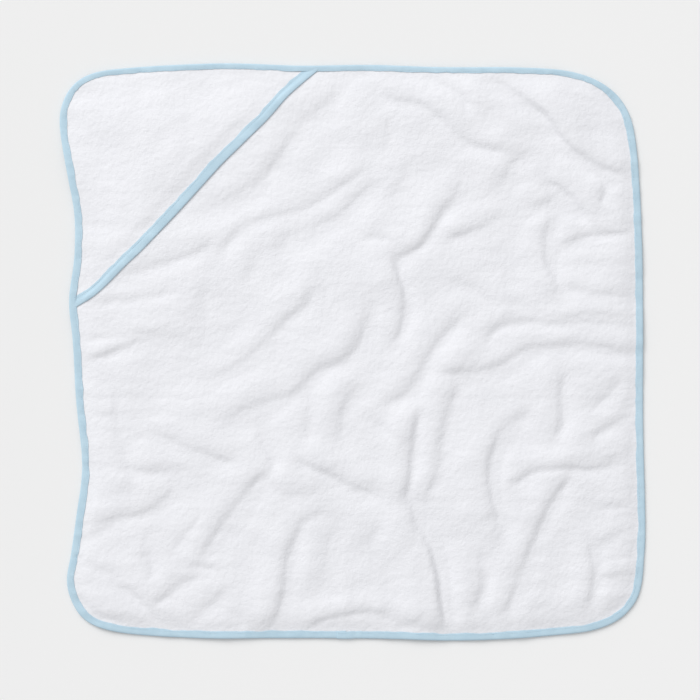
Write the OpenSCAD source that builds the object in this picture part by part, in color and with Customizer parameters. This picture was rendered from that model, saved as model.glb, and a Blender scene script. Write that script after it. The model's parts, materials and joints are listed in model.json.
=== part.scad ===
// Hooded baby towel, laid out flat: a square of terry cloth with rounded corners,
// a three-cornered hood sewn over one corner, and a folded tape binding on every edge.
// Millimetres, +Z up. The origin is under the middle of the towel, on the surface it lies on.

/* [Towel] */
// Side of the towel as it lies
towel_side = 750; // [600:10:900]
// Thickness of the terry cloth, pile on both faces
terry_t = 4.2; // [3:0.1:6]

/* [Hood] */
// Where the hood's mouth meets the top edge, from the towel's middle
mouth_top_x = -38; // [-120:1:0]
// Where the hood's mouth meets the left edge, from the towel's middle
mouth_left_y = 46; // [0:1:140]
// Height of the pocket between the towel and the hood
pocket_gap = 4.6; // [4.2:0.1:12]
// Play between the hood, which moves, and the binding round the towel
hood_play = 0.6; // [0.4:0.1:2]

/* [Binding] */
// Width of the binding over the edge, on each face
tape_w = 12; // [8:0.5:16]
// Thickness of the doubled tape
tape_t = 0.7; // [0.5:0.1:1]
// Height of the bound edge, over the pressed terry
bound_h = 4.6; // [4.2:0.1:6]
// Length of the lap where the tape's two ends meet
lap_l = 14; // [8:1:30]

/* [Stitching] */
// Thickness of the thread
thread_d = 0.6; // [0.4:0.1:0.8]
// Distance of the stitch line from the inner edge of the tape
stitch_in = 2; // [1.5:0.5:4]
// Distance of the hidden basting from the towel's edge
basting_in = 6; // [4:0.5:7]

/* [Hidden] */

terry_white = "#F3F4F7";
tape_blue = "#B4D2E2";
thread_blue = "#C4DCE9";
thread_white = "#FAFAFA";

// The edge of a towel of this side as it lies, anticlockwise: the sides bow in and out a little.
drawn_side = 750;
right_side = [[372, -266], [374, -222], [371, -87], [371, 40], [370, 130], [367, 205], [362, 266]];
top_right = [[355, 300], [341, 325], [321, 342], [296, 354], [262, 361]];
top_side = [[195, 364], [112, 364], [22, 367], [-67, 366], [-157, 369], [-245, 366]];
top_left = [[-298, 362], [-326, 358], [-348, 349], [-365, 332], [-374, 308], [-374, 280]];
left_side = [[-365, 228], [-356, 176], [-356, 120], [-363, 66], [-358, 15], [-354, -61],
    [-346, -145], [-354, -212], [-361, -262]];
bottom_left = [[-366, -290], [-361, -316], [-346, -340], [-322, -353]];
bottom_side = [[-280, -361], [-195, -366], [-110, -366], [-29, -366], [60, -367], [125, -369],
    [195, -367], [260, -362]];
bottom_right = [[307, -356], [339, -343], [360, -322], [369, -298]];
drawn = [each right_side, each top_right, each top_side, each top_left,
    each left_side, each bottom_left, each bottom_side, each bottom_right];

curve_steps = 4; // points along the curve between two of the outline's own

// A point of the smooth curve through b and c, at share t of the way between them.
function between(a, b, c, d, t) =
    0.5 * (2 * b + (c - a) * t + (2 * a - 5 * b + 4 * c - d) * t * t
        + (3 * b - a - 3 * c + d) * t * t * t);

// The smooth closed curve through a list of points.
function smooth_loop(p) = let(n = len(p))
    [for (i = [0:n - 1], s = [0:curve_steps - 1])
        between(p[(i + n - 1) % n], p[i], p[(i + 1) % n], p[(i + 2) % n], s / curve_steps)];

function middle(v) = (min(v) + max(v)) / 2;

// The same points, with the middle of their box at the origin.
function centred(p) =
    let(c = [middle([for (q = p) q[0]]), middle([for (q = p) q[1]])]) [for (q = p) q - c];

// The closed curve moved inwards by d, for points that run anticlockwise.
function inset(p, d) = let(n = len(p))
    [for (i = [0:n - 1])
        let(along = p[(i + 1) % n] - p[(i + n - 1) % n])
            p[i] + d * [-along[1], along[0]] / norm(along)];

edge = centred(smooth_loop(drawn * towel_side / drawn_side));

// The hood's mouth: a straight line from the left edge to the top edge.
near = 30; // how far along the edge the mouth's ends look for its outermost point
left_x = min([for (q = edge) if (abs(q[1] - mouth_left_y) < near) q[0]]);
top_y = max([for (q = edge) if (abs(q[0] - mouth_top_x) < near) q[1]]);
mouth_left = [left_x, mouth_left_y];
mouth_top = [mouth_top_x, top_y];
mouth_dir = (mouth_top - mouth_left) / norm(mouth_top - mouth_left);
mouth_in = [-mouth_dir[1], mouth_dir[0]]; // from the mouth towards the towel's corner
mouth_angle = atan2(mouth_dir[1], mouth_dir[0]);
reach = 2 * towel_side; // longer than anything here
tall = 100; // higher than anything here

// The hood turns about a line along the far tip of its own outline, parallel to its mouth.
hood_edge = inset(edge, tape_w + hood_play);
tip = max([for (q = hood_edge) (q - mouth_left) * mouth_in]);
hood_z = terry_t + pocket_gap;
echo(hinge_at = mouth_left + tip * mouth_in + 0.5 * norm(mouth_top - mouth_left) * mouth_dir, z = hood_z);
echo(hinge_axis = -mouth_dir, hood_depth = tip, mouth_length = norm(mouth_top - mouth_left));
echo(mouth_left = mouth_left, mouth_top = mouth_top);
echo(width = max([for (q = edge) q[0]]) * 2, depth = max([for (q = edge) q[1]]) * 2);

// A flat slab of the towel's outline, moved in by d, between two heights.
module slab(d, z0, z1) translate([0, 0, z0]) linear_extrude(z1 - z0) polygon(inset(edge, d));

// Everything beyond a line parallel to the mouth, d towards the corner from it.
module beyond_mouth(d)
    translate(mouth_left + d * mouth_in) rotate(mouth_angle) translate([-reach, 0, -1])
        cube([2 * reach, reach, tall]);

// A straight bar along the mouth, from a to b towards the corner, between two heights.
module mouth_bar(a, b, z0, z1)
    intersection() {
        slab(tape_w + hood_play, z0, z1);
        translate(mouth_left + a * mouth_in) rotate(mouth_angle) translate([-reach, 0, -1])
            cube([2 * reach, b - a, tall]);
    }

// A closed loop of thread round the towel, its middle d in from the edge.
module thread_loop(d, z0, z1)
    difference() {
        slab(d - thread_d / 2, z0, z1);
        slab(d + thread_d / 2, z0 - 1, z1 + 1);
    }

// Between the tape's leaves the terry is pressed thin, and over the hood's corner two layers share that space.
pressed_z0 = tape_t;
pressed_z1 = bound_h - tape_t;
layers_z = (pressed_z0 + pressed_z1) / 2;
corner_cut = tape_w; // the hood's layer starts this far inside its mouth line
edge_line = tape_w - stitch_in; // the stitch line, from the towel's edge
sunk = thread_d / 2; // the thread lies half its thickness deep in the tape
weld = 1; // how far one part of a solid runs into the next
lap_x = -20; // where the lap of the tape starts, on the bottom edge
proud = 0.1; // how far the upper thread stands above the tape
under = 0.1; // how far the lower thread stays inside the tape's underside

module towel_panel()
    color(terry_white) union() {
        slab(tape_w, 0, terry_t);
        difference() {
            slab(tape_t, pressed_z0, pressed_z1);
            slab(tape_w, -1, bound_h + 1);
            intersection() {
                slab(0, layers_z, bound_h);
                beyond_mouth(corner_cut);
            }
        }
    }

module hood_seam_allowance()
    color(terry_white) difference() {
        intersection() {
            slab(tape_t, layers_z, pressed_z1);
            beyond_mouth(corner_cut);
        }
        slab(tape_w, -1, bound_h + 1);
        thread_loop(basting_in, pressed_z1 - sunk, bound_h);
    }

module hood_basting_thread()
    color(thread_white) intersection() {
        thread_loop(basting_in, pressed_z1 - sunk, pressed_z1);
        beyond_mouth(corner_cut);
    }

module edge_binding()
    color(tape_blue) difference() {
        union() {
            slab(0, 0, bound_h);
            // the lap where the two ends of the tape meet, near the middle of the bottom edge
            intersection() {
                slab(0, 0, bound_h + tape_t);
                translate([lap_x, -reach, 0]) cube([lap_l, reach, tall]);
            }
        }
        slab(tape_w, -1, 2 * bound_h);
        slab(tape_t, pressed_z0, pressed_z1);
        thread_loop(edge_line, bound_h - sunk, 2 * bound_h);
        thread_loop(edge_line, -1, sunk);
    }

module edge_needle_thread()
    color(thread_blue) thread_loop(edge_line, bound_h - sunk, bound_h + proud);

module edge_bobbin_thread()
    color(thread_blue) thread_loop(edge_line, under, sunk);

module hood_panel()
    color(terry_white) union() {
        intersection() {
            slab(tape_w + hood_play, hood_z, hood_z + terry_t);
            beyond_mouth(tape_w);
        }
        mouth_bar(tape_t, tape_w + weld, hood_z + pressed_z0, hood_z + pressed_z1);
    }

module hood_binding()
    color(tape_blue) difference() {
        mouth_bar(0, tape_w, hood_z, hood_z + bound_h);
        mouth_bar(tape_t, tape_w + weld, hood_z + pressed_z0, hood_z + pressed_z1);
        mouth_bar(edge_line - thread_d / 2, edge_line + thread_d / 2,
            hood_z + bound_h - sunk, hood_z + 2 * bound_h);
        mouth_bar(edge_line - thread_d / 2, edge_line + thread_d / 2, hood_z - 1, hood_z + sunk);
    }

module hood_needle_thread()
    color(thread_blue) mouth_bar(edge_line - thread_d / 2, edge_line + thread_d / 2,
        hood_z + bound_h - sunk, hood_z + bound_h + proud);

module hood_bobbin_thread()
    color(thread_blue) mouth_bar(edge_line - thread_d / 2, edge_line + thread_d / 2,
        hood_z + under, hood_z + sunk);

towel_panel();
hood_panel();
hood_seam_allowance();
edge_binding();
hood_binding();
edge_needle_thread();
edge_bobbin_thread();
hood_needle_thread();
hood_bobbin_thread();
hood_basting_thread();
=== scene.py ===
"""Hooded baby towel laid flat: white terry with a hood over one corner, bound with pale blue tape."""
import json
import math

import bpy
import numpy as np
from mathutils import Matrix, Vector
from mathutils.geometry import delaunay_2d_cdt


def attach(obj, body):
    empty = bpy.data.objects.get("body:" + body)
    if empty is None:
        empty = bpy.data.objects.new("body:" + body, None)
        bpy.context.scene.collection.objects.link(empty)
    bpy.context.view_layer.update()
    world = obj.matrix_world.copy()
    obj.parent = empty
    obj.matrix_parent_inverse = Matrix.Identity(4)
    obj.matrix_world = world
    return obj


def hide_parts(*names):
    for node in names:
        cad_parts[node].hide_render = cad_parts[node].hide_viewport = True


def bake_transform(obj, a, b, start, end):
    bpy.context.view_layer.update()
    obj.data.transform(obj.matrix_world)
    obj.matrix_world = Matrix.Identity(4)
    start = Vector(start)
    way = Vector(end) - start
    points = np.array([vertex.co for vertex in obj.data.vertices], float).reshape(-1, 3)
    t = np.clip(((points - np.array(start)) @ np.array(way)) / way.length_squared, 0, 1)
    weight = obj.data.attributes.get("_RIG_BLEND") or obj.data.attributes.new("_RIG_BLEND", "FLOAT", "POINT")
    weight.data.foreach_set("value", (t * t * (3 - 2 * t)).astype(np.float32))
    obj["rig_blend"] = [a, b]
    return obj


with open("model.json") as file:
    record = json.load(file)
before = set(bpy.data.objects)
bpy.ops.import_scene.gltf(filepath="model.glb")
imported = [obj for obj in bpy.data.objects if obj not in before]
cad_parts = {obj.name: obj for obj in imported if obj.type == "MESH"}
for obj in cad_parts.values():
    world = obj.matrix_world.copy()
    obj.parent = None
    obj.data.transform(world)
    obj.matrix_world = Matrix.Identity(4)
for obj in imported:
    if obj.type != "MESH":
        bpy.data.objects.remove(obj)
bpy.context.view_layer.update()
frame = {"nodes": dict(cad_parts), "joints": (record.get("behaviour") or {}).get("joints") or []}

MM = 0.001

# Cloth and tape, in metres. Heights are from the middle of the towel's cloth.
HALF_TERRY = 2.1 * MM        # half the thickness of the free terry
HALF_PRESSED = 0.8 * MM      # half its thickness inside the tape
REST_HEIGHT = 3.05 * MM      # of the cloth's middle above the floor, where nothing lifts it
LOWEST = 2.15 * MM           # and inside the tape, where it lies on the floor
EDGE_DROP = 1.2 * MM         # how far the rim sinks towards the floor, on the sides away from the lamp
EDGE_TAPE = 9.6 * MM         # width of the tape's upper leaf, round the towel
MOUTH_TAPE = 12.6 * MM       # and along the hood's mouth
STITCH_IN = 2.4 * MM         # the stitch line, from the leaf's inner edge
STITCH_LENGTH = 3.0 * MM
STEPS_PER_STITCH = 8         # points along a thread for each stitch
THREAD_RADIUS = 0.26 * MM
BASTING_IN = 6 * MM          # the hidden basting, from the towel's edge
HOOD_PRESSED = 1.6 * MM      # thickness of the hood's margin inside the tape
TAPE_HALF = 2.4 * MM         # half the height of the folded tape, before it is pressed
EDGE_SQUEEZE = 0.8           # share of that height left in the edge tape
HOOD_RISE = 100 * MM         # how far in from its legs the hood gets to its full height
EDGE_RISE = 18 * MM          # and the towel's cloth, from the tape
MOUTH_RISE = 22 * MM         # and the hood's cloth, from the mouth's tape
LAP_LENGTH = 14.0 * MM       # where the tape's second end covers its first
LAP_X = -20.0 * MM
CELL = 3.6 * MM              # edge length of the cloth's triangles
LIGHT_FROM = np.array([-0.5, 0.86])  # the side the folds' crests face, over the floor


# ---------------------------------------------------------------- small tools

def smoothstep(t):
    t = np.clip(t, 0, 1)
    return t * t * (3 - 2 * t)


def ease(low, high, t):
    return low + (high - low) * smoothstep(t)


def soft_floor(h, radius):
    """h where it is well above zero, and a smooth bend into zero below."""
    return 0.5 * (h + np.sqrt(h * h + radius * radius))


def curve_through(points, step):
    """Even points along the smooth open curve through a few."""
    p = np.array(points, float)
    p = np.vstack([2 * p[0] - p[1], p, 2 * p[-1] - p[-2]])
    out = []
    for a, b, c, d in zip(p[:-3], p[1:-2], p[2:-1], p[3:]):
        count = max(2, int(np.linalg.norm(c - b) / step))
        for t in np.arange(count) / count:
            out.append(0.5 * (2 * b + (c - a) * t + (2 * a - 5 * b + 4 * c - d) * t ** 2
                              + (3 * b - a - 3 * c + d) * t ** 3))
    out.append(p[-2])
    return np.array(out)


def even_loop(points, step):
    """The closed loop through the points, with even spacing."""
    closed = np.vstack([points, points[:1]])
    along = np.concatenate([[0], np.cumsum(np.linalg.norm(np.diff(closed, axis=0), axis=1))])
    count = int(round(along[-1] / step))
    s = np.arange(count) * along[-1] / count
    return np.column_stack([np.interp(s, along, closed[:, k]) for k in (0, 1)])


def loop_smooth(points, width):
    """The closed loop with small corners evened out."""
    count = len(points)
    reach = np.minimum(np.arange(count), count - np.arange(count))
    kernel = np.exp(-0.5 * (reach / width) ** 2)
    spectrum = np.fft.fft(kernel / kernel.sum())
    return np.column_stack([np.fft.ifft(np.fft.fft(points[:, k]) * spectrum).real for k in (0, 1)])


def loop_normals(points):
    """Inward normals of a closed loop that runs anticlockwise."""
    along = np.roll(points, -1, 0) - np.roll(points, 1, 0)
    along /= np.linalg.norm(along, axis=1)[:, None]
    return np.column_stack([-along[:, 1], along[:, 0]])


def nearest(points, targets):
    """For each point, the index of the nearest target and the distance to it."""
    index = np.empty(len(points), int)
    distance = np.empty(len(points))
    for i in range(0, len(points), 4000):
        part = points[i:i + 4000]
        d2 = ((part[:, None, :] - targets[None, :, :]) ** 2).sum(2)
        index[i:i + 4000] = d2.argmin(1)
        distance[i:i + 4000] = np.sqrt(d2.min(1))
    return index, distance


# ---------------------------------------------------------------- where things are, from the frame

OUTLINE_STEP = 2 * MM        # between two points of the towel's outline


def outline_of_towel():
    """The towel's outline, anticlockwise, from the outer wall of the CAD binding."""
    found = set()
    mesh = frame["nodes"]["edge_binding"].data
    for face in mesh.polygons:
        n, c = face.normal, face.center
        if abs(n.z) < 0.1 and 0.001 < c.z < 0.004 and n.x * c.x + n.y * c.y > 0:
            for i in face.vertices:
                found.add(tuple(round(v, 6) for v in mesh.vertices[i].co[:2]))
    points = np.array(sorted(found, key=lambda p: math.atan2(p[1], p[0])))
    return loop_smooth(even_loop(points, OUTLINE_STEP), 3)


OUTLINE = outline_of_towel()
INWARD = loop_normals(OUTLINE)

hinge = frame["joints"][0]
MOUTH_DIR = -np.array(hinge["axis"][:2])
MOUTH_DIR /= np.linalg.norm(MOUTH_DIR)
MOUTH_IN = np.array([-MOUTH_DIR[1], MOUTH_DIR[0]])
binding_points = np.array([v.co[:2] for v in frame["nodes"]["hood_binding"].data.vertices])
MOUTH_OFFSET = (binding_points @ MOUTH_IN).min()


def mouth_ends():
    """The two points of the outline that the mouth's line meets, left one first."""
    inside = OUTLINE @ MOUTH_IN > MOUTH_OFFSET
    first = np.nonzero(inside & ~np.roll(inside, 1))[0][0]
    last = np.nonzero(inside & ~np.roll(inside, -1))[0][0]
    return OUTLINE[last], OUTLINE[first]


MOUTH_LEFT, MOUTH_TOP = mouth_ends()
MOUTH_LENGTH = (MOUTH_TOP - MOUTH_LEFT) @ MOUTH_DIR
# How far the mouth lies outside its straight line, along its length.
BOW_AT = [0, 0.035, 0.065, 0.09, 0.13, 0.21, 0.27, 0.42, 0.6, 0.78, 0.87, 0.94, 1]
BOW = np.array([-3.0, -0.8, 3.6, 5.8, 6.4, 5.8, 6.9, 4.6, 0, 0.8, -2.6, -0.8, 2.0]) * MM
BOW_SMOOTHING = 0.02         # share of the mouth's length over which the bow's corners are rounded


def bow(t):
    """How far the mouth lies outside its straight line, at share t of its length."""
    t = np.clip(t, 0, 1)
    here = np.interp(t, BOW_AT, BOW)
    after = np.interp(t + BOW_SMOOTHING, BOW_AT, BOW)
    before = np.interp(t - BOW_SMOOTHING, BOW_AT, BOW)
    return here * 0.5 + after * 0.25 + before * 0.25


def mouth_depth(p):
    """How far a point is inside the hood's mouth line; negative on the open towel."""
    t = ((p - MOUTH_LEFT) @ MOUTH_DIR) / MOUTH_LENGTH
    return (p - MOUTH_LEFT) @ MOUTH_IN + bow(t)


def edge_depth(p):
    """How far a point is inside the towel's outline."""
    index = nearest(p, OUTLINE)[0]
    return ((p - OUTLINE[index]) * INWARD[index]).sum(1)


# ---------------------------------------------------------------- relief: heights on a square grid

GRID_HALF = 0.40
GRID_STEP = 1.25 * MM
AXIS = np.arange(-GRID_HALF, GRID_HALF + GRID_STEP / 2, GRID_STEP)
GX, GY = np.meshgrid(AXIS, AXIS)
COUNT = len(AXIS)


def blur(field, sigma_x, sigma_y=None):
    """Gaussian blur, with sigma in metres."""
    f = np.fft.fftfreq(COUNT, GRID_STEP)
    sigma_y = sigma_x if sigma_y is None else sigma_y
    gain = np.exp(-2 * math.pi ** 2 * ((f[None, :] * sigma_x) ** 2 + (f[:, None] * sigma_y) ** 2))
    return np.fft.ifft2(np.fft.fft2(field) * gain).real


def noise(seed, sigma_x, sigma_y=None):
    """Smooth noise with unit spread."""
    field = blur(np.random.default_rng(seed).standard_normal((COUNT, COUNT)), sigma_x, sigma_y)
    return field / field.std()


def sample(field, p):
    """The field's value at each point."""
    q = (p + GRID_HALF) / GRID_STEP
    q = np.clip(q, 0, COUNT - 1.001)
    i = q.astype(int)
    t = q - i
    x, y, u, v = i[:, 0], i[:, 1], t[:, 0], t[:, 1]
    low = field[y, x] * (1 - u) + field[y, x + 1] * u
    high = field[y + 1, x] * (1 - u) + field[y + 1, x + 1] * u
    return low * (1 - v) + high * v


def on_grid(function, coarse=5):
    """A slowly changing function of place, worked out on a coarser grid."""
    axis = AXIS[::coarse]
    x, y = np.meshgrid(axis, axis)
    values = function(np.column_stack([x.ravel(), y.ravel()])).reshape(x.shape)
    fine = np.array([np.interp(AXIS, axis, row) for row in values])
    return np.array([np.interp(AXIS, axis, column) for column in fine.T]).T


# A fold's section. In widths: how far the crest is from the steep part, how far the lit side and
# the valley spread, and where the lip is. In heights: the valley's depth, the trough's and the lip.
FLANK = 2.4
LIT_SIDE = 2.0
PAST_FOOT = 1.05
LIP_AT = 3.2
VALLEY = 0.7
TROUGH = 0.3
LIP = 0.2


def crease(field, sharp, points, height, width):
    """Adds one fold: a broad crest on the lit side, a flank that steepens to a narrow trough at its
    foot on the shaded side, then a shallow valley and a low lip. points run along the steep part
    of the flank, in millimetres; width is the unit that the section's distances are given in.
    sharp is raised to 1 along the foot, where the fold mustn't be smoothed away."""
    line = curve_through(np.array(points, float) * MM, 6 * MM)
    width, height = width * MM, height * MM
    chord = line[-1] - line[0]
    side = 1.0 if np.array([-chord[1], chord[0]]) @ -LIGHT_FROM > 0 else -1.0
    reach = 8 * width
    low = np.clip(((line.min(0) - reach + GRID_HALF) / GRID_STEP).astype(int), 0, COUNT - 1)
    high = np.clip(((line.max(0) + reach + GRID_HALF) / GRID_STEP).astype(int) + 1, 0, COUNT - 1)
    part = (slice(low[1], high[1]), slice(low[0], high[0]))
    p = np.column_stack([GX[part].ravel(), GY[part].ravel()])
    best = np.full(len(p), 1e9)
    signed = np.zeros(len(p))
    place = np.zeros(len(p))
    lengths = np.linalg.norm(np.diff(line, axis=0), axis=1)
    starts = np.concatenate([[0], np.cumsum(lengths)])
    for a, b, length, start in zip(line[:-1], line[1:], lengths, starts):
        along = (b - a) / length
        rel = p - a
        t = np.clip(rel @ along, 0, length)
        distance = np.linalg.norm(rel - t[:, None] * along, axis=1)
        closer = distance < best
        best[closer] = distance[closer]
        cross = along[0] * rel[:, 1] - along[1] * rel[:, 0]
        signed[closer] = cross[closer]
        place[closer] = (start + t)[closer]
    s = signed * side / width
    total = starts[-1]
    taper = min(0.3 * total, 30 * MM)
    fade = smoothstep((place + 0.3 * taper) / taper) * smoothstep((total - place + 0.3 * taper) / taper)
    past_end = np.sqrt(np.maximum(best ** 2 - signed ** 2, 0)) / width
    fade = fade * np.exp(-0.5 * (past_end / 1.5) ** 2)
    x = np.clip((s + FLANK) / (FLANK + 0.6), 0, 1)
    flank = 1 - (1 + VALLEY) * x ** 2.1 * (1 - 0.35 * x ** 8) / 0.65
    lit = np.exp(-0.5 * ((s + FLANK) / LIT_SIDE) ** 2)
    past = -VALLEY * np.exp(-0.5 * ((s - 0.6) / PAST_FOOT) ** 2)
    shape = np.where(s < -FLANK, lit, np.where(s > 0.6, past, np.maximum(flank, -VALLEY)))
    shape += LIP * np.exp(-0.5 * ((s - LIP_AT) / 1.2) ** 2)
    shape -= TROUGH * np.exp(-0.5 * ((s - 0.3) / 0.5) ** 2)
    field[part] += (height * fade * shape).reshape(GX[part].shape)
    near_foot = fade * np.exp(-0.5 * (s / 1.3) ** 2)
    sharp[part] = np.maximum(sharp[part], near_foot.reshape(GX[part].shape))


# The folds of the laid towel: points in millimetres, a strength, and a width in millimetres. A
# fold's height in millimetres is FOLD_GAIN times its strength to the power FOLD_POWER.
FOLD_GAIN = 1.07
FOLD_POWER = 0.55
TALLEST = 5.5 * MM           # limit of the folds' own part of the height, before swells are added
FOLDS = [
    # left side, below the hood
    ([(-352, 14), (-300, 20), (-250, 24), (-200, 16)], 4.5, 9),
    ([(-350, -12), (-318, -5), (-285, 6), (-255, 10), (-220, 5), (-190, 2)], 9.0, 5),
    ([(-334, 62), (-292, 66), (-252, 72), (-224, 80)], 1.3, 6),
    ([(-296, 98), (-254, 109), (-218, 120), (-192, 131), (-172, 146)], 2.6, 7),
    ([(-170, 118), (-158, 140), (-138, 159), (-112, 170), (-78, 178), (-46, 190), (-14, 212),
      (20, 236)], 2.6, 6),
    ([(-136, 88), (-128, 108), (-118, 126)], 1.4, 7),
    ([(-198, 92), (-188, 62), (-180, 26), (-164, 4)], 1.0, 8),
    ([(-48, 112), (-38, 86), (-34, 58)], 1.4, 8),
    ([(-302, -50), (-298, -100), (-290, -140), (-276, -174)], 2.8, 7),
    ([(-280, -52), (-273, -88), (-274, -118)], 1.4, 6),
    ([(-260, -102), (-215, -122), (-180, -135), (-146, -143)], 6.5, 6),
    ([(-290, -148), (-258, -154), (-206, -152)], 2.0, 6),
    ([(-336, -219), (-300, -213), (-268, -207), (-240, -190), (-222, -166)], 3.8, 5),
    ([(-348, -238), (-322, -230), (-300, -220)], 1.8, 5),
    ([(-190, -200), (-205, -224), (-230, -252)], 2.4, 7),
    ([(-266, -232), (-260, -262), (-254, -294)], 4.0, 7),
    ([(-348, -268), (-325, -276), (-310, -283)], 1.4, 5),
    ([(-350, -314), (-326, -334), (-290, -346)], 4.0, 4.5),
    ([(-304, -298), (-282, -306), (-262, -330), (-243, -348)], 5.0, 6),
    ([(-260, -324), (-238, -313), (-222, -298), (-196, -288)], 4.0, 6),
    ([(-209, -342), (-182, -324), (-158, -300)], 2.6, 7),
    ([(-210, -272), (-172, -277)], 4.0, 4),
    ([(-158, -330), (-140, -344), (-136, -358)], 1.4, 6),
    # along the hood's mouth and across the middle
    ([(-196, 178), (-156, 191), (-119, 214), (-89, 254), (-62, 290), (-34, 314), (-20, 336),
      (-24, 366)], 3.4, 8),
    ([(-98, 118), (-80, 142), (-48, 156), (-15, 175), (12, 200), (38, 220)], 4.2, 9),
    ([(48, 196), (62, 214), (76, 242)], 1.8, 8),
    ([(-188, -38), (-148, -22), (-112, 8), (-84, 40), (-58, 64), (-53, 90)], 4.2, 8),
    ([(22, 52), (13, 16), (-8, -10), (-42, -24), (-72, -54), (-112, -67), (-154, -84)], 7.6, 8),
    ([(-96, -62), (-108, -80), (-128, -94)], 1.6, 6),
    ([(-57, -52), (-56, -84), (-62, -118)], 1.8, 8),
    ([(16, -38), (-2, -58), (-12, -82), (-15, -116)], 3.2, 8),
    ([(-124, -94), (-114, -116), (-104, -136), (-97, -154)], 5.5, 6),
    ([(-74, -132), (-58, -144), (-28, -158), (2, -175), (34, -182)], 6.5, 7),
    ([(-108, -150), (-126, -174), (-148, -205), (-170, -232), (-192, -264)], 14, 8.5),
    ([(-112, -166), (-82, -181), (-38, -179)], 1.6, 8),
    ([(6, -74), (34, -92), (62, -112)], 1.6, 6),
    ([(-6, -260), (18, -246), (36, -218)], 1.6, 7),
    # top right
    ([(8, 374), (30, 340), (48, 322), (86, 316), (112, 298), (134, 275), (162, 262), (204, 256)],
     4.8, 7.5),
    ([(42, 302), (47, 276), (40, 252)], 1.6, 8),
    ([(66, 356), (90, 338)], 1.4, 6),
    ([(88, 354), (122, 340), (144, 322), (154, 300)], 5.5, 6.5),
    ([(162, 354), (196, 337), (226, 315), (246, 300), (264, 272), (290, 249), (322, 231),
      (360, 222)], 16, 6.5),
    ([(230, 316), (252, 290), (268, 268), (288, 250)], 9.0, 6.5),
    ([(284, 352), (306, 336), (334, 320)], 2.0, 5),
    ([(228, 254), (206, 240), (199, 220), (185, 194)], 3.4, 8),
    ([(242, 222), (268, 204), (290, 180), (306, 160)], 14, 6.5),
    ([(319, 228), (322, 208), (314, 186)], 5.0, 7),
    ([(116, 143), (160, 155), (205, 172), (264, 196)], 6.0, 6),
    ([(142, 230), (134, 200), (116, 176)], 2.0, 7),
    ([(122, 192), (106, 162), (84, 133), (48, 116)], 6.4, 6.5),
    ([(54, 124), (58, 102), (68, 74), (67, 44), (56, 10)], 12, 6),
    ([(8, 146), (38, 146), (62, 136)], 1.6, 6),
    ([(255, 176), (249, 140), (253, 108), (268, 80)], 14, 6.5),
    ([(262, 90), (284, 80), (312, 75), (352, 70)], 1.2, 5),
    ([(262, 132), (300, 147), (360, 153)], 7.0, 5.5),
    ([(118, 92), (150, 82), (176, 66), (192, 46)], 1.6, 7),
    ([(196, 66), (222, 58), (246, 48)], 1.2, 7),
    # right side
    ([(168, 8), (184, 30), (212, 39), (262, 35), (300, 38), (362, 33)], 3.4, 6),
    ([(262, 42), (300, 49), (360, 47)], 2.2, 4.5),
    ([(142, 46), (116, 19), (98, -5), (84, -34), (64, -57), (36, -66)], 5.8, 8.5),
    ([(108, -24), (150, -29), (186, -22), (218, -2), (258, 7), (306, 8), (362, -8)], 5.6, 8),
    ([(168, -28), (200, -15), (228, 2)], 4.0, 7),
    ([(268, -24), (267, -60), (267, -92), (256, -114)], 6.0, 6.5),
    ([(346, -28), (328, -54), (304, -72)], 2.2, 7),
    ([(302, -112), (330, -94), (362, -84)], 3.2, 6),
    ([(318, -138), (362, -128)], 2.0, 5),
    ([(198, -174), (228, -154), (268, -148), (310, -149), (362, -140)], 3.4, 5),
    ([(316, -198), (362, -199)], 3.2, 4.5),
    ([(304, -250), (330, -238), (354, -220)], 2.6, 4.5),
    ([(298, -230), (308, -258), (310, -290), (302, -330)], 10, 5.5),
    ([(306, -264), (360, -262)], 1.2, 4.5),
    ([(316, -288), (358, -284)], 1.2, 4.5),
    ([(278, -158), (253, -197), (233, -242), (216, -290), (196, -338)], 9.0, 6),
    ([(230, -72), (197, -101), (180, -132), (177, -172), (188, -218), (198, -240)], 4.0, 8),
    ([(190, -108), (179, -140), (179, -176), (190, -212)], 7.0, 6.5),
    # bottom middle
    ([(84, -70), (79, -112), (75, -150), (67, -194)], 10, 6.5),
    ([(138, -34), (126, -70), (115, -112), (112, -148), (92, -190)], 3.4, 7.5),
    ([(72, -186), (88, -220), (104, -256), (113, -300), (120, -348)], 20, 8.5),
    ([(98, -240), (112, -284), (114, -314), (124, -354)], 14, 7),
    ([(74, -204), (78, -232), (72, -262)], 1.8, 6),
    ([(56, -352), (82, -344), (106, -326)], 3.0, 6),
    ([(162, -254), (168, -292), (158, -330)], 6.0, 7),
    ([(164, -326), (172, -344), (180, -362)], 2.2, 5.5),
    ([(-32, -204), (-62, -216), (-78, -256)], 2.4, 7),
    ([(-72, -232), (-82, -270), (-88, -310), (-102, -358)], 7.0, 6.5),
    ([(-18, -214), (-28, -256), (-34, -300)], 2.6, 7),
    ([(-62, -360), (-40, -345), (-8, -339), (22, -334), (50, -341)], 17, 5),
    ([(-6, -322), (-24, -306), (-30, -288)], 1.2, 7),
]


# The hood's own folds: points, height and width, in millimetres.
HOOD_FOLDS = [
    ([(-322, 240), (-318, 210), (-310, 175)], 1.6, 8),
    ([(-298, 225), (-292, 195), (-288, 165)], 1.3, 7),
    ([(-215, 330), (-180, 338), (-150, 348)], 1.3, 8),
    ([(-255, 260), (-225, 290), (-196, 312)], 1.1, 9),
    ([(-340, 300), (-322, 318), (-300, 330)], 1.2, 8),
]

PACKING_CREASES = [28, -59, -192, -261]     # faint creases right across, at these places in mm
CREASE_DEPTH = 0.22 * MM
CREASE_WIDTH = 2.4 * MM
CALM_REACH = 45 * MM         # the folds get lower under the hood and at the edges, over this distance
RIM_REACH = 32 * MM          # how far in from the edge the rim's drop is felt


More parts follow.
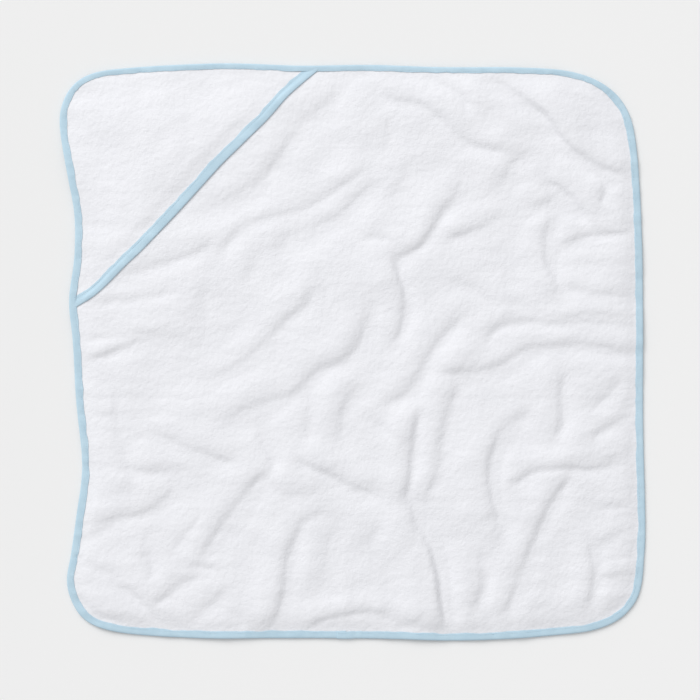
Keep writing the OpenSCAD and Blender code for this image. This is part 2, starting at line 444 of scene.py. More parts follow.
def towel_relief():
    """Height of the middle of the towel's cloth, on the grid."""
    depth = on_grid(edge_depth)
    inside_mouth = on_grid(mouth_depth)
    lift = np.zeros_like(GX)
    sharp = np.zeros_like(GX)
    for points, strength, width in FOLDS:
        crease(lift, sharp, points, FOLD_GAIN * strength ** FOLD_POWER, width)
    sharp = blur(sharp, 3 * MM)
    lift = blur(lift, 1.6 * MM) * sharp + blur(lift, 6.5 * MM) * (1 - sharp)
    calm = 1 - 0.7 * smoothstep((inside_mouth + 5 * MM) / CALM_REACH)
    lift /= (1 + (np.abs(lift) / TALLEST) ** 3) ** (1 / 3)
    lift *= calm * ease(0.45, 1, depth / CALM_REACH)
    # Broad swells, with nothing lower than the cloth lies flat, and then small waves over them.
    lift += 0.9 * MM * noise(3, 34 * MM) + 0.45 * MM * noise(4, 15 * MM)
    lift = soft_floor(lift + 1.0 * MM * smoothstep(depth / (50 * MM)), 0.8 * MM)
    lift += 0.16 * MM * noise(5, 9 * MM, 5 * MM) + 0.09 * MM * noise(6, 5 * MM, 3.4 * MM)
    lift += 0.24 * MM * noise(9, 14 * MM)
    # Small ripples that run in from the two sides and from the bottom.
    at_sides = smoothstep((np.abs(GX) - 120 * MM) / (200 * MM))
    at_bottom = smoothstep((-GY - 200 * MM) / (130 * MM)) * (1 - at_sides)
    lift += 0.26 * MM * at_sides * noise(7, 32 * MM, 5 * MM)
    lift += 0.22 * MM * at_bottom * noise(8, 5 * MM, 26 * MM)
    for k, y in enumerate(PACKING_CREASES):
        fade = np.clip(0.7 + 0.4 * noise(14 + k, 40 * MM, 200 * MM), 0, 1.2)
        lift -= CREASE_DEPTH * fade * np.exp(-0.5 * ((GY - y * MM) / CREASE_WIDTH) ** 2)
    facing_lamp = smoothstep((GX * LIGHT_FROM[0] + GY * LIGHT_FROM[1] + 50 * MM) / (300 * MM))
    drop = EDGE_DROP * (1 - 1.2 * facing_lamp)
    sunk = REST_HEIGHT + lift - drop * (1 - smoothstep(depth / RIM_REACH))
    return LOWEST + soft_floor(sunk - LOWEST, 0.25 * MM)


def steepness(field):
    """How much longer a step across the cloth is than upright, on the grid."""
    dy, dx = np.gradient(field, GRID_STEP)
    return np.minimum(np.sqrt(1 + dx ** 2 + dy ** 2), 1.35)


TOWEL = towel_relief()
TOWEL_STEEP = steepness(blur(TOWEL, 1.5 * MM))


def free_share(depth, reach=EDGE_RISE):
    """0 where the cloth is pressed inside the tape, 1 where it is full."""
    return smoothstep((depth - EDGE_TAPE + 1.6 * MM) / reach)


def towel_top_offset(p, depth):
    """The towel's upper face, from its middle. The hood's margin takes half the room in the tape."""
    under_hood = smoothstep((mouth_depth(p) - 4 * MM) / (6 * MM))
    pressed = HALF_PRESSED - (HALF_PRESSED + 0.1 * MM) * under_hood
    return pressed + (HALF_TERRY - pressed) * free_share(depth, ease(EDGE_RISE, HOOD_RISE, under_hood))


def hood_relief():
    """Gap between the towel and the hood that lies on it, on the grid."""
    depth = on_grid(edge_depth)
    top = TOWEL + HALF_TERRY
    bridging = blur(top, 9 * MM) + 0.9 * MM
    puffed = bridging + 1.2 * MM * smoothstep((depth - 15 * MM) / (90 * MM))
    puffed += 0.55 * MM * noise(11, 30 * MM, 18 * MM) + 0.22 * MM * noise(12, 8 * MM, 14 * MM)
    own = np.zeros_like(GX)
    for points, height, width in HOOD_FOLDS:
        crease(own, np.zeros_like(GX), points, height, width)
    puffed += blur(own, 5 * MM)
    gap = soft_floor(puffed - top - 0.4 * MM, 0.5 * MM) + 0.3 * MM
    return blur(gap, 2 * MM) * ease(0.12, 1, on_grid(mouth_depth) / (70 * MM))


HOOD_GAP = hood_relief()


def full_thickness(depth):
    """The hood's thickness away from its mouth."""
    return HOOD_PRESSED + (2 * HALF_TERRY - HOOD_PRESSED) * free_share(depth, HOOD_RISE)


def hood_bottom(p, depth):
    """Height of the hood's lower face."""
    gap = 0.1 * MM + sample(HOOD_GAP, p) * smoothstep((depth - 10 * MM) / HOOD_RISE)
    steep = sample(TOWEL_STEEP, p)
    return sample(TOWEL, p) + (towel_top_offset(p, depth) + gap) * steep


def mouth_squeeze(p):
    """Share of the mouth tape's full height, least where the edge tape holds it."""
    return ease(0.34, 0.43, (edge_depth(p) - EDGE_TAPE + 2 * MM) / (8 * MM))


def clear_of_mouth(p):
    """0 inside the mouth's tape, 1 where the hood is free of it."""
    return smoothstep((mouth_depth(p) - MOUTH_TAPE + 0.8 * MM) / MOUTH_RISE)


def hood_thickness(p, depth):
    """Full cloth, thinner towards the sewn legs and thinnest inside the mouth's tape."""
    in_tape = 2.3 * HALF_PRESSED * mouth_squeeze(p)
    return in_tape + (full_thickness(depth) - in_tape) * clear_of_mouth(p)


def hood_middle(p):
    """Height of the middle of the hood's layer, whose underside and tape lie on the towel."""
    depth = edge_depth(p)
    half_tape = TAPE_HALF * mouth_squeeze(p)
    fuller = (full_thickness(depth) / 2 - half_tape) * clear_of_mouth(p)
    return hood_bottom(p, depth) + half_tape + fuller


# ---------------------------------------------------------------- meshes

def new_piece(name, vertices, faces, uv=None):
    """A smooth-shaded mesh object. uv is one pair for each face corner."""
    mesh = bpy.data.meshes.new(name)
    mesh.from_pydata([tuple(v) for v in vertices], [], [tuple(f) for f in faces])
    if uv is not None:
        layer = mesh.uv_layers.new(name="UVMap")
        layer.data.foreach_set("uv", np.asarray(uv, np.float32).ravel())
    mesh.shade_smooth()
    piece = bpy.data.objects.new(name, mesh)
    bpy.context.scene.collection.objects.link(piece)
    return piece


def fill(boundary, rings, clearance):
    """Triangles that fill a closed boundary: rows that follow its edge, then an even field inside.
    clearance gives each point's distance from the boundary."""
    points = [boundary]
    normals = loop_normals(boundary)
    for ring in rings:
        row = even_loop(boundary + normals * ring, CELL)
        points.append(row[clearance(row) > 0.97 * ring])
    low, high = boundary.min(0), boundary.max(0)
    pitch = CELL * math.sqrt(3) / 2
    rows = np.arange(low[1], high[1], pitch)
    field = [(x + (k % 2) * CELL / 2, y) for k, y in enumerate(rows)
             for x in np.arange(low[0], high[0], CELL)]
    field = np.array(field)
    points.append(field[clearance(field) > rings[-1] + 0.75 * CELL])
    flat = np.vstack(points)
    count = len(boundary)
    loop = [(i, (i + 1) % count) for i in range(count)]
    found = delaunay_2d_cdt([Vector(p) for p in flat], loop, [], 1, 1e-7, False)
    flat, triangles = np.array([v[:] for v in found[0]]), np.array([tuple(f) for f in found[2]])
    inside = clearance(flat[triangles].mean(1)) > 0
    return flat, triangles[inside]


def sheet_of_cloth(name, flat, triangles, bottom, top):
    """A closed sheet: the same triangles above and below, joined round the edge."""
    a, b, c = (flat[triangles[:, k]] for k in range(3))
    turn = (b - a)[:, 0] * (c - a)[:, 1] - (b - a)[:, 1] * (c - a)[:, 0]
    triangles = np.where(turn[:, None] < 0, triangles[:, ::-1], triangles)
    count = len(flat)
    edges = {}
    for face in triangles:
        for i in range(3):
            edges[(face[i], face[(i + 1) % 3])] = True
    rim = [e for e in edges if (e[1], e[0]) not in edges]
    faces = [tuple(f) for f in triangles]
    faces += [tuple(f[::-1] + count) for f in triangles]
    faces += [(i, i + count, j + count, j) for i, j in rim]
    vertices = np.vstack([np.column_stack([flat, top]), np.column_stack([flat, bottom])])
    return new_piece(name, vertices, faces)


def sweep(name, rings):
    """A solid through rings of points, rings[i][k]. UVs run along it and round it, in metres."""
    count, sides = rings.shape[:2]
    steps = np.linalg.norm(np.diff(rings.mean(1), axis=0), axis=1)
    along = np.concatenate([[0], np.cumsum(steps)])
    girth = np.linalg.norm(np.roll(rings[0], -1, 0) - rings[0], axis=1)
    round_ = np.concatenate([[0], np.cumsum(girth)])
    faces, uv = [], []
    for i in range(count - 1):
        j = i + 1
        for k in range(sides):
            n = (k + 1) % sides
            faces.append((i * sides + k, j * sides + k, j * sides + n, i * sides + n))
            uv += [(along[i], round_[k]), (along[i + 1], round_[k]),
                   (along[i + 1], round_[k + 1]), (along[i], round_[k + 1])]
    faces.append(tuple(range(sides)))
    faces.append(tuple((count - 1) * sides + k for k in reversed(range(sides))))
    uv += [(0, round_[k]) for k in range(sides)]
    uv += [(along[-1], round_[k]) for k in reversed(range(sides))]
    return new_piece(name, rings.reshape(-1, 3), faces, uv)


# The tape's section: distance from its fold in tape widths, and height from the cloth's middle, mm.
TAPE_OUTER = [(0.98, 1.3), (1.0, 1.5), (0.985, 1.74), (0.92, 1.88), (0.85, 1.94), (0.79, 1.95),
              (0.73, 2.04), (0.64, 2.18), (0.52, 2.3), (0.4, 2.36), (0.27, 2.34), (0.16, 2.18),
              (0.08, 1.8), (0.03, 1.15), (0.01, 0.55)]
TAPE_INNER = [(0.055, 0.0), (0.075, 0.55), (0.125, 1.1), (0.24, 1.6), (0.43, 1.8), (0.65, 1.65),
              (0.79, 1.3), (0.92, 1.4)]


def tape_section():
    """The closed section, starting at the upper leaf's inner edge and going round the fold."""
    lower = [(d, -h) for d, h in reversed(TAPE_OUTER)]
    inside = [(d, -h) for d, h in reversed(TAPE_INNER[1:])] + TAPE_INNER
    return TAPE_OUTER + [(0.0, 0.0)] + lower + inside


def wobble(length, count, seed, period):
    """Smooth noise along a strip, with unit spread."""
    values = np.random.default_rng(seed).standard_normal(count)
    f = np.fft.fftfreq(count, length / count)
    smooth = np.fft.ifft(np.fft.fft(values) * np.exp(-0.5 * (f * period) ** 2)).real
    return smooth / smooth.std()


def tape_rings(place, count, width, middle, room, squeeze, seed, lift):
    """The tape's rings along its folded edge. place(d) gives each ring's point at distance d from
    the fold, middle the height of the cloth inside; room is added to the upper leaf, squeeze
    scales the section's height, and lift raises the section where it laps over itself, mostly upwards."""
    spine = place(np.zeros(count))
    length = np.linalg.norm(np.diff(spine, axis=0), axis=1).sum()
    pucker = wobble(length, count, seed, 7 * MM)
    slow = wobble(length, count, seed + 1, 28 * MM)
    wander = wobble(length, count, seed + 2, 30 * MM)
    stitch = np.cos(2 * math.pi * np.arange(count) * (length / count) / STITCH_LENGTH)
    rings = []
    for share, h in tape_section():
        upright = np.sign(h) * min(1, abs(h) / 1.2)
        near_stitch = math.exp(-0.5 * ((share * width - width + STITCH_IN) / (1.5 * MM)) ** 2)
        ripple = pucker * (0.05 + 0.07 * near_stitch) + slow * 0.07 + stitch * 0.05 * near_stitch
        depth = share * width + (wander * 0.35 + pucker * 0.1) * MM * share
        p = place(depth)
        height = (h + upright * ripple) * MM * squeeze(p) + max(upright, 0.4 * upright) * lift
        height = height + max(upright, 0) * room(p)
        rings.append(np.column_stack([p, middle(p) + height * sample(TOWEL_STEEP, p)]))
    return np.stack(rings, 1)


def stitch_line(place, length, surface):
    """A thread that shows on the face and dips into the cloth at each stitch hole. place(t) gives
    the point at share t of the way. Returns the points, how deep each dips and the height there."""
    stitches = int(length / STITCH_LENGTH)
    count = stitches * STEPS_PER_STITCH + 1
    p = place(np.arange(count) / (count - 1))
    dip = np.abs(np.cos(np.arange(count) * math.pi / STEPS_PER_STITCH)) ** 5
    return p, dip, surface(p)


def tube(name, path):
    """A round thread along a path."""
    along = np.gradient(path, axis=0)
    along /= np.linalg.norm(along, axis=1)[:, None]
    across = np.cross(along, (0, 0, 1.0))
    across /= np.linalg.norm(across, axis=1)[:, None]
    up = np.cross(across, along)
    angles = np.arange(6) * math.pi / 3
    rings = [path + THREAD_RADIUS * (math.cos(a) * across + math.sin(a) * up) for a in angles]
    return sweep(name, np.stack(rings, 1))


# ---------------------------------------------------------------- towel panel

RIM_IN = 1.2 * MM            # the cloth's cut edge, inside the tape's fold
HOOD_RIM_IN = 1.4 * MM       # and the hood's, along its legs
ROWS = [3.6 * MM, 6.6 * MM, 9.0 * MM, 11.2 * MM, 13.6 * MM]


def clear_of_outline(p):
    """How far a point is inside the towel's cut edge."""
    return edge_depth(p) - RIM_IN


flat, triangles = fill(even_loop(OUTLINE + INWARD * RIM_IN, CELL), ROWS, clear_of_outline)
depth = edge_depth(flat)
middle = sample(TOWEL, flat)
steep = sample(TOWEL_STEEP, flat)
half = HALF_PRESSED + (HALF_TERRY - HALF_PRESSED) * free_share(depth)
towel_cloth = sheet_of_cloth("towel_cloth", flat, triangles, middle - half * steep,
                             middle + towel_top_offset(flat, depth) * steep)

# ---------------------------------------------------------------- hood panel

def mouth_point(t, inset):
    """The point at share t along the mouth, moved in by inset."""
    line = MOUTH_LEFT + MOUTH_DIR * (t * MOUTH_LENGTH)[:, None]
    return line + MOUTH_IN * (inset - bow(t))[:, None]


def clear_of_hood_rim(p):
    """How far a point is inside the hood's cut edges."""
    return np.minimum(edge_depth(p) - HOOD_RIM_IN, mouth_depth(p) - RIM_IN)


mouth = mouth_point(np.linspace(0, 1, int(MOUTH_LENGTH / CELL)), RIM_IN)
mouth = mouth[edge_depth(mouth) > 4 * MM]
legs = even_loop(OUTLINE + INWARD * HOOD_RIM_IN, CELL)
legs = legs[mouth_depth(legs) > RIM_IN + 0.7 * CELL]
# The legs' points in order of the direction they lie in, seen from a place on the open towel.
SEEN_FROM = (-0.15, 0.15)
turn = np.arctan2(legs[:, 1] - SEEN_FROM[1], legs[:, 0] - SEEN_FROM[0]) % (2 * math.pi)
hood_rim = np.vstack([mouth, legs[np.argsort(turn)]])
flat, triangles = fill(hood_rim, ROWS, clear_of_hood_rim)
full = hood_middle(flat)
thick = hood_thickness(flat, edge_depth(flat)) * sample(TOWEL_STEEP, flat)
hood_cloth = sheet_of_cloth("hood_cloth", flat, triangles, full - thick / 2, full + thick / 2)

# ---------------------------------------------------------------- tapes

RING_STEP = 1.9 * MM


def towel_middle(p):
    return sample(TOWEL, p)


def edge_room(p):
    """Room in the edge tape for the hood's margin, and a hump where the mouth's tape goes in."""
    room = 0.75 * MM * smoothstep((mouth_depth(p) + 6 * MM) / (16 * MM))
    for end in (MOUTH_LEFT, MOUTH_TOP):
        distance = np.linalg.norm(p - end - MOUTH_IN * MOUTH_TAPE / 2, axis=1)
        room = room + 0.6 * MM * np.exp(-0.5 * (distance / (9 * MM)) ** 2)
    return room


BOTTOM_BELOW = -0.3          # the bottom edge lies below this, in metres
TOP_FROM = 310 * MM          # where the tape starts to narrow towards the top edge
TOP_OVER = 45 * MM           # and over what distance
TOP_SHARE = 0.8              # share of the tape's width that shows there


def edge_path():
    """The edge tape's folded edge from one end of the tape to the other, and its inward normals."""
    loop = even_loop(OUTLINE, RING_STEP)
    normals = loop_normals(loop)
    first = np.nonzero((loop[:, 1] < BOTTOM_BELOW) & (loop[:, 0] > LAP_X))[0]
    first = first[np.argmin(loop[first, 0])]
    order = (first + np.arange(len(loop) + int(LAP_LENGTH / RING_STEP))) % len(loop)
    return loop[order], normals[order], len(loop)


path, path_in, once_round = edge_path()
lap_lift = 0.6 * MM * smoothstep((len(path) - once_round + 6 - np.arange(len(path))) / 5)
# Along the top side more of the tape is rolled under, and less shows.
shown = ease(1, TOP_SHARE, (path[:, 1] - TOP_FROM) / TOP_OVER)


def edge_place(d):
    return path + path_in * (d * shown - lap_lift)[:, None]


rings = tape_rings(edge_place, len(path), EDGE_TAPE, towel_middle, edge_room,
                   lambda p: EDGE_SQUEEZE, 21, lap_lift)
edge_tape = sweep("edge_tape", rings)

MOUTH_RINGS = int(MOUTH_LENGTH / RING_STEP)


def mouth_reach(d):
    """The shares of the mouth's length between which a line d inside it runs within the towel."""
    t = np.linspace(-0.1, 1.1, 600)
    inside = t[edge_depth(mouth_point(t, np.full(600, d))) > 3 * MM]
    return inside[0], inside[-1]


REACH_AT = np.linspace(0, 16 * MM, 9)
REACH = np.array([mouth_reach(d) for d in REACH_AT])


def mouth_place(d):
    """Each ring's point d inside the mouth; the ends follow the towel's edge."""
    share = np.arange(len(d)) / (len(d) - 1)
    first = np.interp(d, REACH_AT, REACH[:, 0])
    last = np.interp(d, REACH_AT, REACH[:, 1])
    t = first * (1 - share) + last * share
    return mouth_point(t, d)


rings = tape_rings(mouth_place, MOUTH_RINGS, MOUTH_TAPE, hood_middle, lambda p: 0.0,
                   mouth_squeeze, 31, 0.0)
mouth_tape = sweep("mouth_tape", rings)

# ---------------------------------------------------------------- threads

HIDE = 0.62 * MM             # how deep a thread goes at its holes
FACE = 1.95 * MM             # height of the tape's face at the stitch line, before it is pressed
PROUD = 0.1 * MM             # how far a thread's middle is above that face


def round_once(t, values):
    """The value at share t of the way round, from one for each ring of the tape."""
    return np.interp(t * (once_round - 1), np.arange(once_round), values[:once_round])


def edge_stitch_place(t):
    """Once round the edge tape's stitch line."""
    line = edge_place(np.full(len(path), EDGE_TAPE - STITCH_IN))
    return np.column_stack([round_once(t, line[:, 0]), round_once(t, line[:, 1])])


edge_length = once_round * RING_STEP
place, dip, height = stitch_line(edge_stitch_place, edge_length, towel_middle)
steep = sample(TOWEL_STEEP, place)
face = FACE * EDGE_SQUEEZE + PROUD + round_once(np.linspace(0, 1, len(place)), lap_lift) - HIDE * dip
edge_needle = tube("edge_needle_stitches",
                   np.column_stack([place, height + (face + edge_room(place)) * steep]))
face = FACE * EDGE_SQUEEZE + PROUD - HIDE * dip
edge_bobbin = tube("edge_bobbin_stitches", np.column_stack([place, height - face * steep]))


def mouth_stitch_place(t):
    """Along the mouth's stitch line, from inside one end of the tape to the other."""
    return mouth_place(np.full(len(t), MOUTH_TAPE - STITCH_IN))


place, dip, height = stitch_line(mouth_stitch_place, MOUTH_LENGTH, hood_middle)
steep = sample(TOWEL_STEEP, place)
face = FACE * mouth_squeeze(place) + PROUD - HIDE * dip
mouth_needle = tube("mouth_needle_stitches", np.column_stack([place, height + face * steep]))
mouth_bobbin = tube("mouth_bobbin_stitches", np.column_stack([place, height - face * steep]))

on_legs = mouth_depth(OUTLINE) > 16 * MM
first = np.nonzero(on_legs & ~np.roll(on_legs, 1))[0][0]
leg = (np.roll(OUTLINE, -first, 0) + np.roll(INWARD, -first, 0) * BASTING_IN)[:on_legs.sum()]


def basting_place(t):
    """Along the basting, from one end of the hood's legs to the other."""
    return np.column_stack([np.interp(t * (len(leg) - 1), np.arange(len(leg)), leg[:, k])
                            for k in (0, 1)])


place, dip, height = stitch_line(basting_place, len(leg) * OUTLINE_STEP, towel_middle)
swing = np.cos(np.arange(len(place)) * 2 * math.pi / (3 * STEPS_PER_STITCH))
basting = tube("hood_basting", np.column_stack([place, height + (0.35 + 1.2 * swing) * MM]))

# ---------------------------------------------------------------- bodies

towel_pieces = [towel_cloth, edge_tape, edge_needle, edge_bobbin, basting]
for piece in towel_pieces:
    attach(piece, "towel")

hood_edge = OUTLINE[mouth_depth(OUTLINE) > 0]
corner = hood_edge[np.argmax(hood_edge @ MOUTH_IN)]
top_leg = hood_edge[hood_edge @ MOUTH_DIR > corner @ MOUTH_DIR]
left_leg = hood_edge[hood_edge @ MOUTH_DIR <= corner @ MOUTH_DIR]
LIFT_START = 13 * MM         # a leg holds the hood down up to this distance from it
LIFT_END = 150 * MM          # and no longer holds it at this one


def lift_share(p):
    """How much a point of the hood follows the opening: none along the sewn legs, all at the
    middle of the mouth."""
    share = 1
    for one_leg in (top_leg, left_leg):
        distance = nearest(p, one_leg)[1]
        share = share * smoothstep((distance - LIFT_START) / (LIFT_END - LIFT_START))
    return share


middle_of_mouth = (MOUTH_LEFT + MOUTH_TOP) / 2
hinge_point = np.array(hinge["pos_m"])
# The legs stay down, but the open hood then stretches more than real cloth could.
for piece in (hood_cloth, mouth_tape, mouth_needle, mouth_bobbin):
    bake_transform(piece, "towel", "hood", start=tuple(hinge_point),
             end=(middle_of_mouth[0], middle_of_mouth[1], hinge_point[2]))
    place = np.array([v.co[:2] for v in piece.data.vertices])
    weights = piece.data.attributes["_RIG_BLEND"].data
    weights.foreach_set("value", lift_share(place).astype(np.float32))

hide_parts("towel_panel")
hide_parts("hood_panel", "hood_seam_allowance")
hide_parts("edge_binding")
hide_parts("hood_binding")
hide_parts("edge_needle_thread")
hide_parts("edge_bobbin_thread")
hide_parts("hood_needle_thread")
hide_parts("hood_bobbin_thread")
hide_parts("hood_basting_thread")

# ---------------------------------------------------------------- materials

def node(tree, kind, values=None, **props):
    made = tree.nodes.new(kind)
    for key, value in props.items():
        setattr(made, key, value)
    for key, value in (values or {}).items():
        made.inputs[key].default_value = value
    return made


def link(tree, source, output, target, socket):
    tree.links.new(source.outputs[output], target.inputs[socket])


def math_node(tree, operation, a, b):
    """a and b are numbers or (node, output) pairs."""
    made = node(tree, "ShaderNodeMath", operation=operation)
    for k, value in enumerate((a, b)):
        if isinstance(value, tuple):
            tree.links.new(value[0].outputs[value[1]], made.inputs[k])
        else:
            made.inputs[k].default_value = value
    return made


def new_material(name, **sockets):
    material = bpy.data.materials.new(name)
    material.use_nodes = True
    tree = material.node_tree
    shader = tree.nodes["Principled BSDF"]
    for key, value in sockets.items():
        shader.inputs[key.replace("_", " ")].default_value = value
    return material, tree, shader


def ramp(tree, source, output, stops):
    made = node(tree, "ShaderNodeValToRGB")
    elements = made.color_ramp.elements
    while len(elements) < len(stops):
        elements.new(0.5)
    for element, (position, colour) in zip(elements, stops):
        element.position = position
        element.color = (*colour, 1)
    link(tree, source, output, made, "Fac")
    return made


def terry_material():
    """Cotton loops about 2 mm across, in uneven rows and lumps, with paler and darker patches. Its colour is
    also darker where the clumps sit low: painted shade in the pile's hollows.
    """
    material, tree, shader = new_material(
        "terry", Roughness=0.95, Sheen_Weight=0.25, Sheen_Roughness=0.5, Specular_IOR_Level=0.12)
    coords = node(tree, "ShaderNodeTexCoord")
    rows = node(tree, "ShaderNodeMapping", {"Scale": (0.75, 1.25, 1.0)})
    link(tree, coords, "Object", rows, "Vector")
    loops = node(tree, "ShaderNodeTexVoronoi", {"Scale": 560.0, "Randomness": 0.9}, feature="F1")
    link(tree, rows, "Vector", loops, "Vector")
    clumps = node(tree, "ShaderNodeTexNoise", {"Scale": 420.0, "Detail": 3.0, "Roughness": 0.6})
    link(tree, rows, "Vector", clumps, "Vector")
    fibre = node(tree, "ShaderNodeTexNoise", {"Scale": 1500.0, "Detail": 2.0, "Roughness": 0.7})
    link(tree, coords, "Object", fibre, "Vector")
    patches = node(tree, "ShaderNodeTexNoise", {"Scale": 20.0, "Detail": 3.0, "Roughness": 0.5})
    link(tree, coords, "Object", patches, "Vector")
    lumps = node(tree, "ShaderNodeTexNoise", {"Scale": 140.0, "Detail": 1.5, "Roughness": 0.55})
    link(tree, coords, "Object", lumps, "Vector")
    loop_height = math_node(tree, "MULTIPLY", (loops, "Distance"), -0.55)
    clump_height = math_node(tree, "MULTIPLY", (clumps, "Fac"), 0.7)
    lump_height = math_node(tree, "MULTIPLY", (lumps, "Fac"), 3.2)
    fibre_height = math_node(tree, "MULTIPLY", (fibre, "Fac"), 0.25)
    height = math_node(tree, "ADD", (loop_height, "Value"), (clump_height, "Value"))
    height = math_node(tree, "ADD", (height, "Value"), (fibre_height, "Value"))
    height = math_node(tree, "ADD", (height, "Value"), (lump_height, "Value"))
    bump = node(tree, "ShaderNodeBump", {"Strength": 0.4, "Distance": 0.0008})
    link(tree, height, "Value", bump, "Height")
    link(tree, bump, "Normal", shader, "Normal")
    shade = math_node(tree, "MULTIPLY", (patches, "Fac"), 0.35)
    # painted shade: the clumps that raise the pile also lighten its colour, so it is darker in the hollows
    painted_pile_shade = math_node(tree, "MULTIPLY", (clumps, "Fac"), 0.65)
    mixed = math_node(tree, "ADD", (shade, "Value"), (painted_pile_shade, "Value"))
    colour = ramp(tree, mixed, "Value", [(0.3, (0.806, 0.812, 0.848)), (0.5, (0.83, 0.835, 0.87)),
                                         (0.7, (0.85, 0.855, 0.889))])
    link(tree, colour, "Color", shader, "Base Color")
    return material


def tape_material():
    """Fine ribbed cotton tape, with a soft wash of lighter and darker blue, and painted shade that darkens
    the weave's low spots.
    """
    material, tree, shader = new_material(
        "tape", Roughness=0.78, Sheen_Weight=0.2, Sheen_Roughness=0.4, Specular_IOR_Level=0.3)
    uv = node(tree, "ShaderNodeUVMap", uv_map="UVMap")
    ribs = node(tree, "ShaderNodeTexWave", {"Scale": 340.0, "Distortion": 1.2, "Detail": 2.0,
                                            "Detail Scale": 1.5}, bands_direction="X")
    link(tree, uv, "UV", ribs, "Vector")
    weft = node(tree, "ShaderNodeTexWave", {"Scale": 300.0, "Distortion": 0.8, "Detail": 1.0},
                bands_direction="Y")
    link(tree, uv, "UV", weft, "Vector")
    wash = node(tree, "ShaderNodeTexNoise", {"Scale": 60.0, "Detail": 4.0, "Roughness": 0.6})
    link(tree, uv, "UV", wash, "Vector")
    woven = math_node(tree, "MULTIPLY", (ribs, "Fac"), (weft, "Fac"))
    bump = node(tree, "ShaderNodeBump", {"Strength": 0.5, "Distance": 0.00025})
    link(tree, woven, "Value", bump, "Height")
    link(tree, bump, "Normal", shader, "Normal")
    # painted shade: the weave's height also sets its colour, darker where the weave is low
    part = math_node(tree, "MULTIPLY", (woven, "Value"), 0.3)
    tone = math_node(tree, "MULTIPLY", (wash, "Fac"), 0.7)
    mixed = math_node(tree, "ADD", (part, "Value"), (tone, "Value"))
    colour = ramp(tree, mixed, "Value", [(0.2, (0.455, 0.624, 0.736)), (0.45, (0.51, 0.68, 0.788)),
                                         (0.75, (0.585, 0.744, 0.841))])
    link(tree, colour, "Color", shader, "Base Color")
    return material


def thread_material(name, painted_groove_shade, light):
    """Twisted sewing thread, its colour darker in the twist's grooves: painted shade."""
    material, tree, shader = new_material(
        name, Roughness=0.55, Sheen_Weight=0.15, Sheen_Roughness=0.4, Specular_IOR_Level=0.4)
    uv = node(tree, "ShaderNodeUVMap", uv_map="UVMap")
    turned = node(tree, "ShaderNodeMapping", {"Rotation": (0, 0, 0.9)})
    link(tree, uv, "UV", turned, "Vector")
    twist = node(tree, "ShaderNodeTexWave", {"Scale": 700.0, "Distortion": 0.3})
    link(tree, turned, "Vector", twist, "Vector")
    bump = node(tree, "ShaderNodeBump", {"Strength": 0.6, "Distance": 0.0001})
    link(tree, twist, "Fac", bump, "Height")
    link(tree, bump, "Normal", shader, "Normal")
    # painted shade: the twist's height also sets the colour, from the darker tone in its grooves to the
    # paler one on its ridges
    colour = ramp(tree, twist, "Fac", [(0.2, painted_groove_shade), (0.8, light)])
    link(tree, colour, "Color", shader, "Base Color")
    return material


terry = terry_material()
tape = tape_material()
# each thread's first, darker colour is painted shade for the grooves of its twist
seam_thread = thread_material("seam_thread", (0.44, 0.61, 0.73), (0.60, 0.74, 0.83))
basting_thread = thread_material("basting_thread", (0.80, 0.80, 0.82), (0.92, 0.92, 0.93))

for piece, material, slot in (
        (towel_cloth, terry, "terry"), (hood_cloth, terry, "terry"),
        (edge_tape, tape, "tape"), (mouth_tape, tape, "tape"),
        (edge_needle, seam_thread, "seam_thread"), (edge_bobbin, seam_thread, "seam_thread"),
        (mouth_needle, seam_thread, "seam_thread"), (mouth_bobbin, seam_thread, "seam_thread"),
        (basting, basting_thread, "basting_thread")):
    piece.data.materials.append(material)

# ---------------------------------------------------------------- floor, light and camera

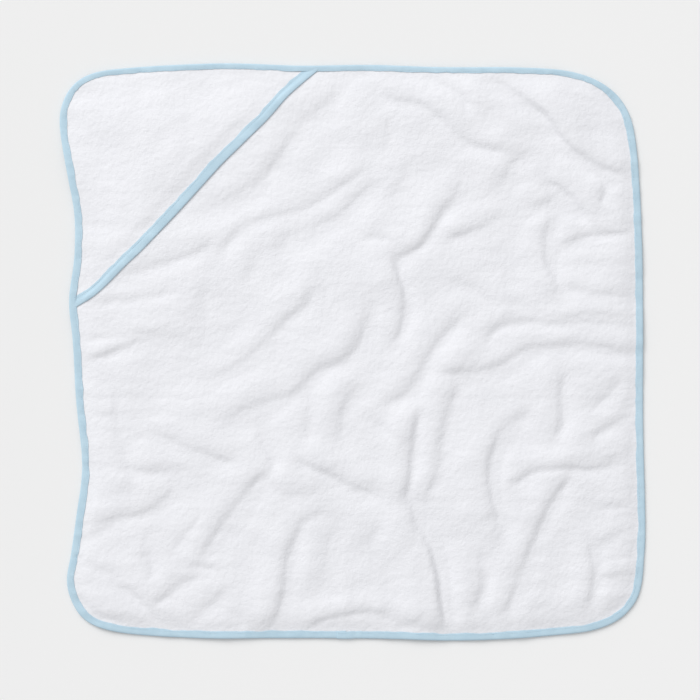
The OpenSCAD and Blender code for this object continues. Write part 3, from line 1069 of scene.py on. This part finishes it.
floor = new_piece("floor", [(-6, -6, 0), (6, -6, 0), (6, 6, 0), (-6, 6, 0)], [(0, 1, 2, 3)])
floor_material, tree, shader = new_material("floor", Roughness=0.9, Specular_IOR_Level=0.1)
speckle = node(tree, "ShaderNodeTexNoise", {"Scale": 3.0, "Detail": 2.0})
colour = ramp(tree, speckle, "Fac", [(0.3, (0.99, 0.99, 0.99)), (0.7, (1.0, 1.0, 1.0))])
# The floor gets paler away from the lamp, so that it looks even.
coords = node(tree, "ShaderNodeTexCoord")
away = node(tree, "ShaderNodeVectorMath", {1: (0.4, -0.4, 0)}, operation="DOT_PRODUCT")
link(tree, coords, "Object", away, 0)
shifted = math_node(tree, "ADD", (away, "Value"), 0.5)
even = ramp(tree, shifted, "Value", [(0.14, (0.82, 0.82, 0.82)), (0.5, (0.878, 0.878, 0.878)),
                                     (0.86, (0.908, 0.908, 0.908))])
both = node(tree, "ShaderNodeMix", {"Factor": 1.0}, data_type="RGBA", blend_type="MULTIPLY")
link(tree, colour, "Color", both, "A")
link(tree, even, "Color", both, "B")
link(tree, both, "Result", shader, "Base Color")
floor.data.materials.append(floor_material)

TOWARDS_LIGHT = Vector((-0.49, 0.72, 0.75))


def lamp(name, kind, energy, distance):
    """A light that shines on the towel's middle from the upper left."""
    light = bpy.data.lights.new(name, kind)
    light.energy = energy
    made = bpy.data.objects.new(name, light)
    made.location = TOWARDS_LIGHT.normalized() * distance
    made.rotation_euler = TOWARDS_LIGHT.to_track_quat("Z", "Y").to_euler()
    bpy.context.scene.collection.objects.link(made)
    return light


lamp("key", "SUN", 1.6, 3.0).angle = math.radians(40)
lamp("softbox", "AREA", 7.6, 2.2).size = 1.5

world = bpy.data.worlds.new("studio")
world.use_nodes = True
world.node_tree.nodes["Background"].inputs["Color"].default_value = (1, 1, 1, 1)
world.node_tree.nodes["Background"].inputs["Strength"].default_value = 0.575
bpy.context.scene.world = world
bpy.context.scene.view_settings.view_transform = "Standard"

PICTURE_WIDTH = 0.896        # what the picture spans at the floor, in metres
camera_data = bpy.data.cameras.new("camera")
camera_data.lens = 100
camera_data.sensor_width = 36
camera_data.clip_end = 20
camera = bpy.data.objects.new("camera", camera_data)
camera.location = (-0.0032, 0.0026, PICTURE_WIDTH * camera_data.lens / camera_data.sensor_width)
bpy.context.scene.collection.objects.link(camera)
bpy.context.scene.camera = camera
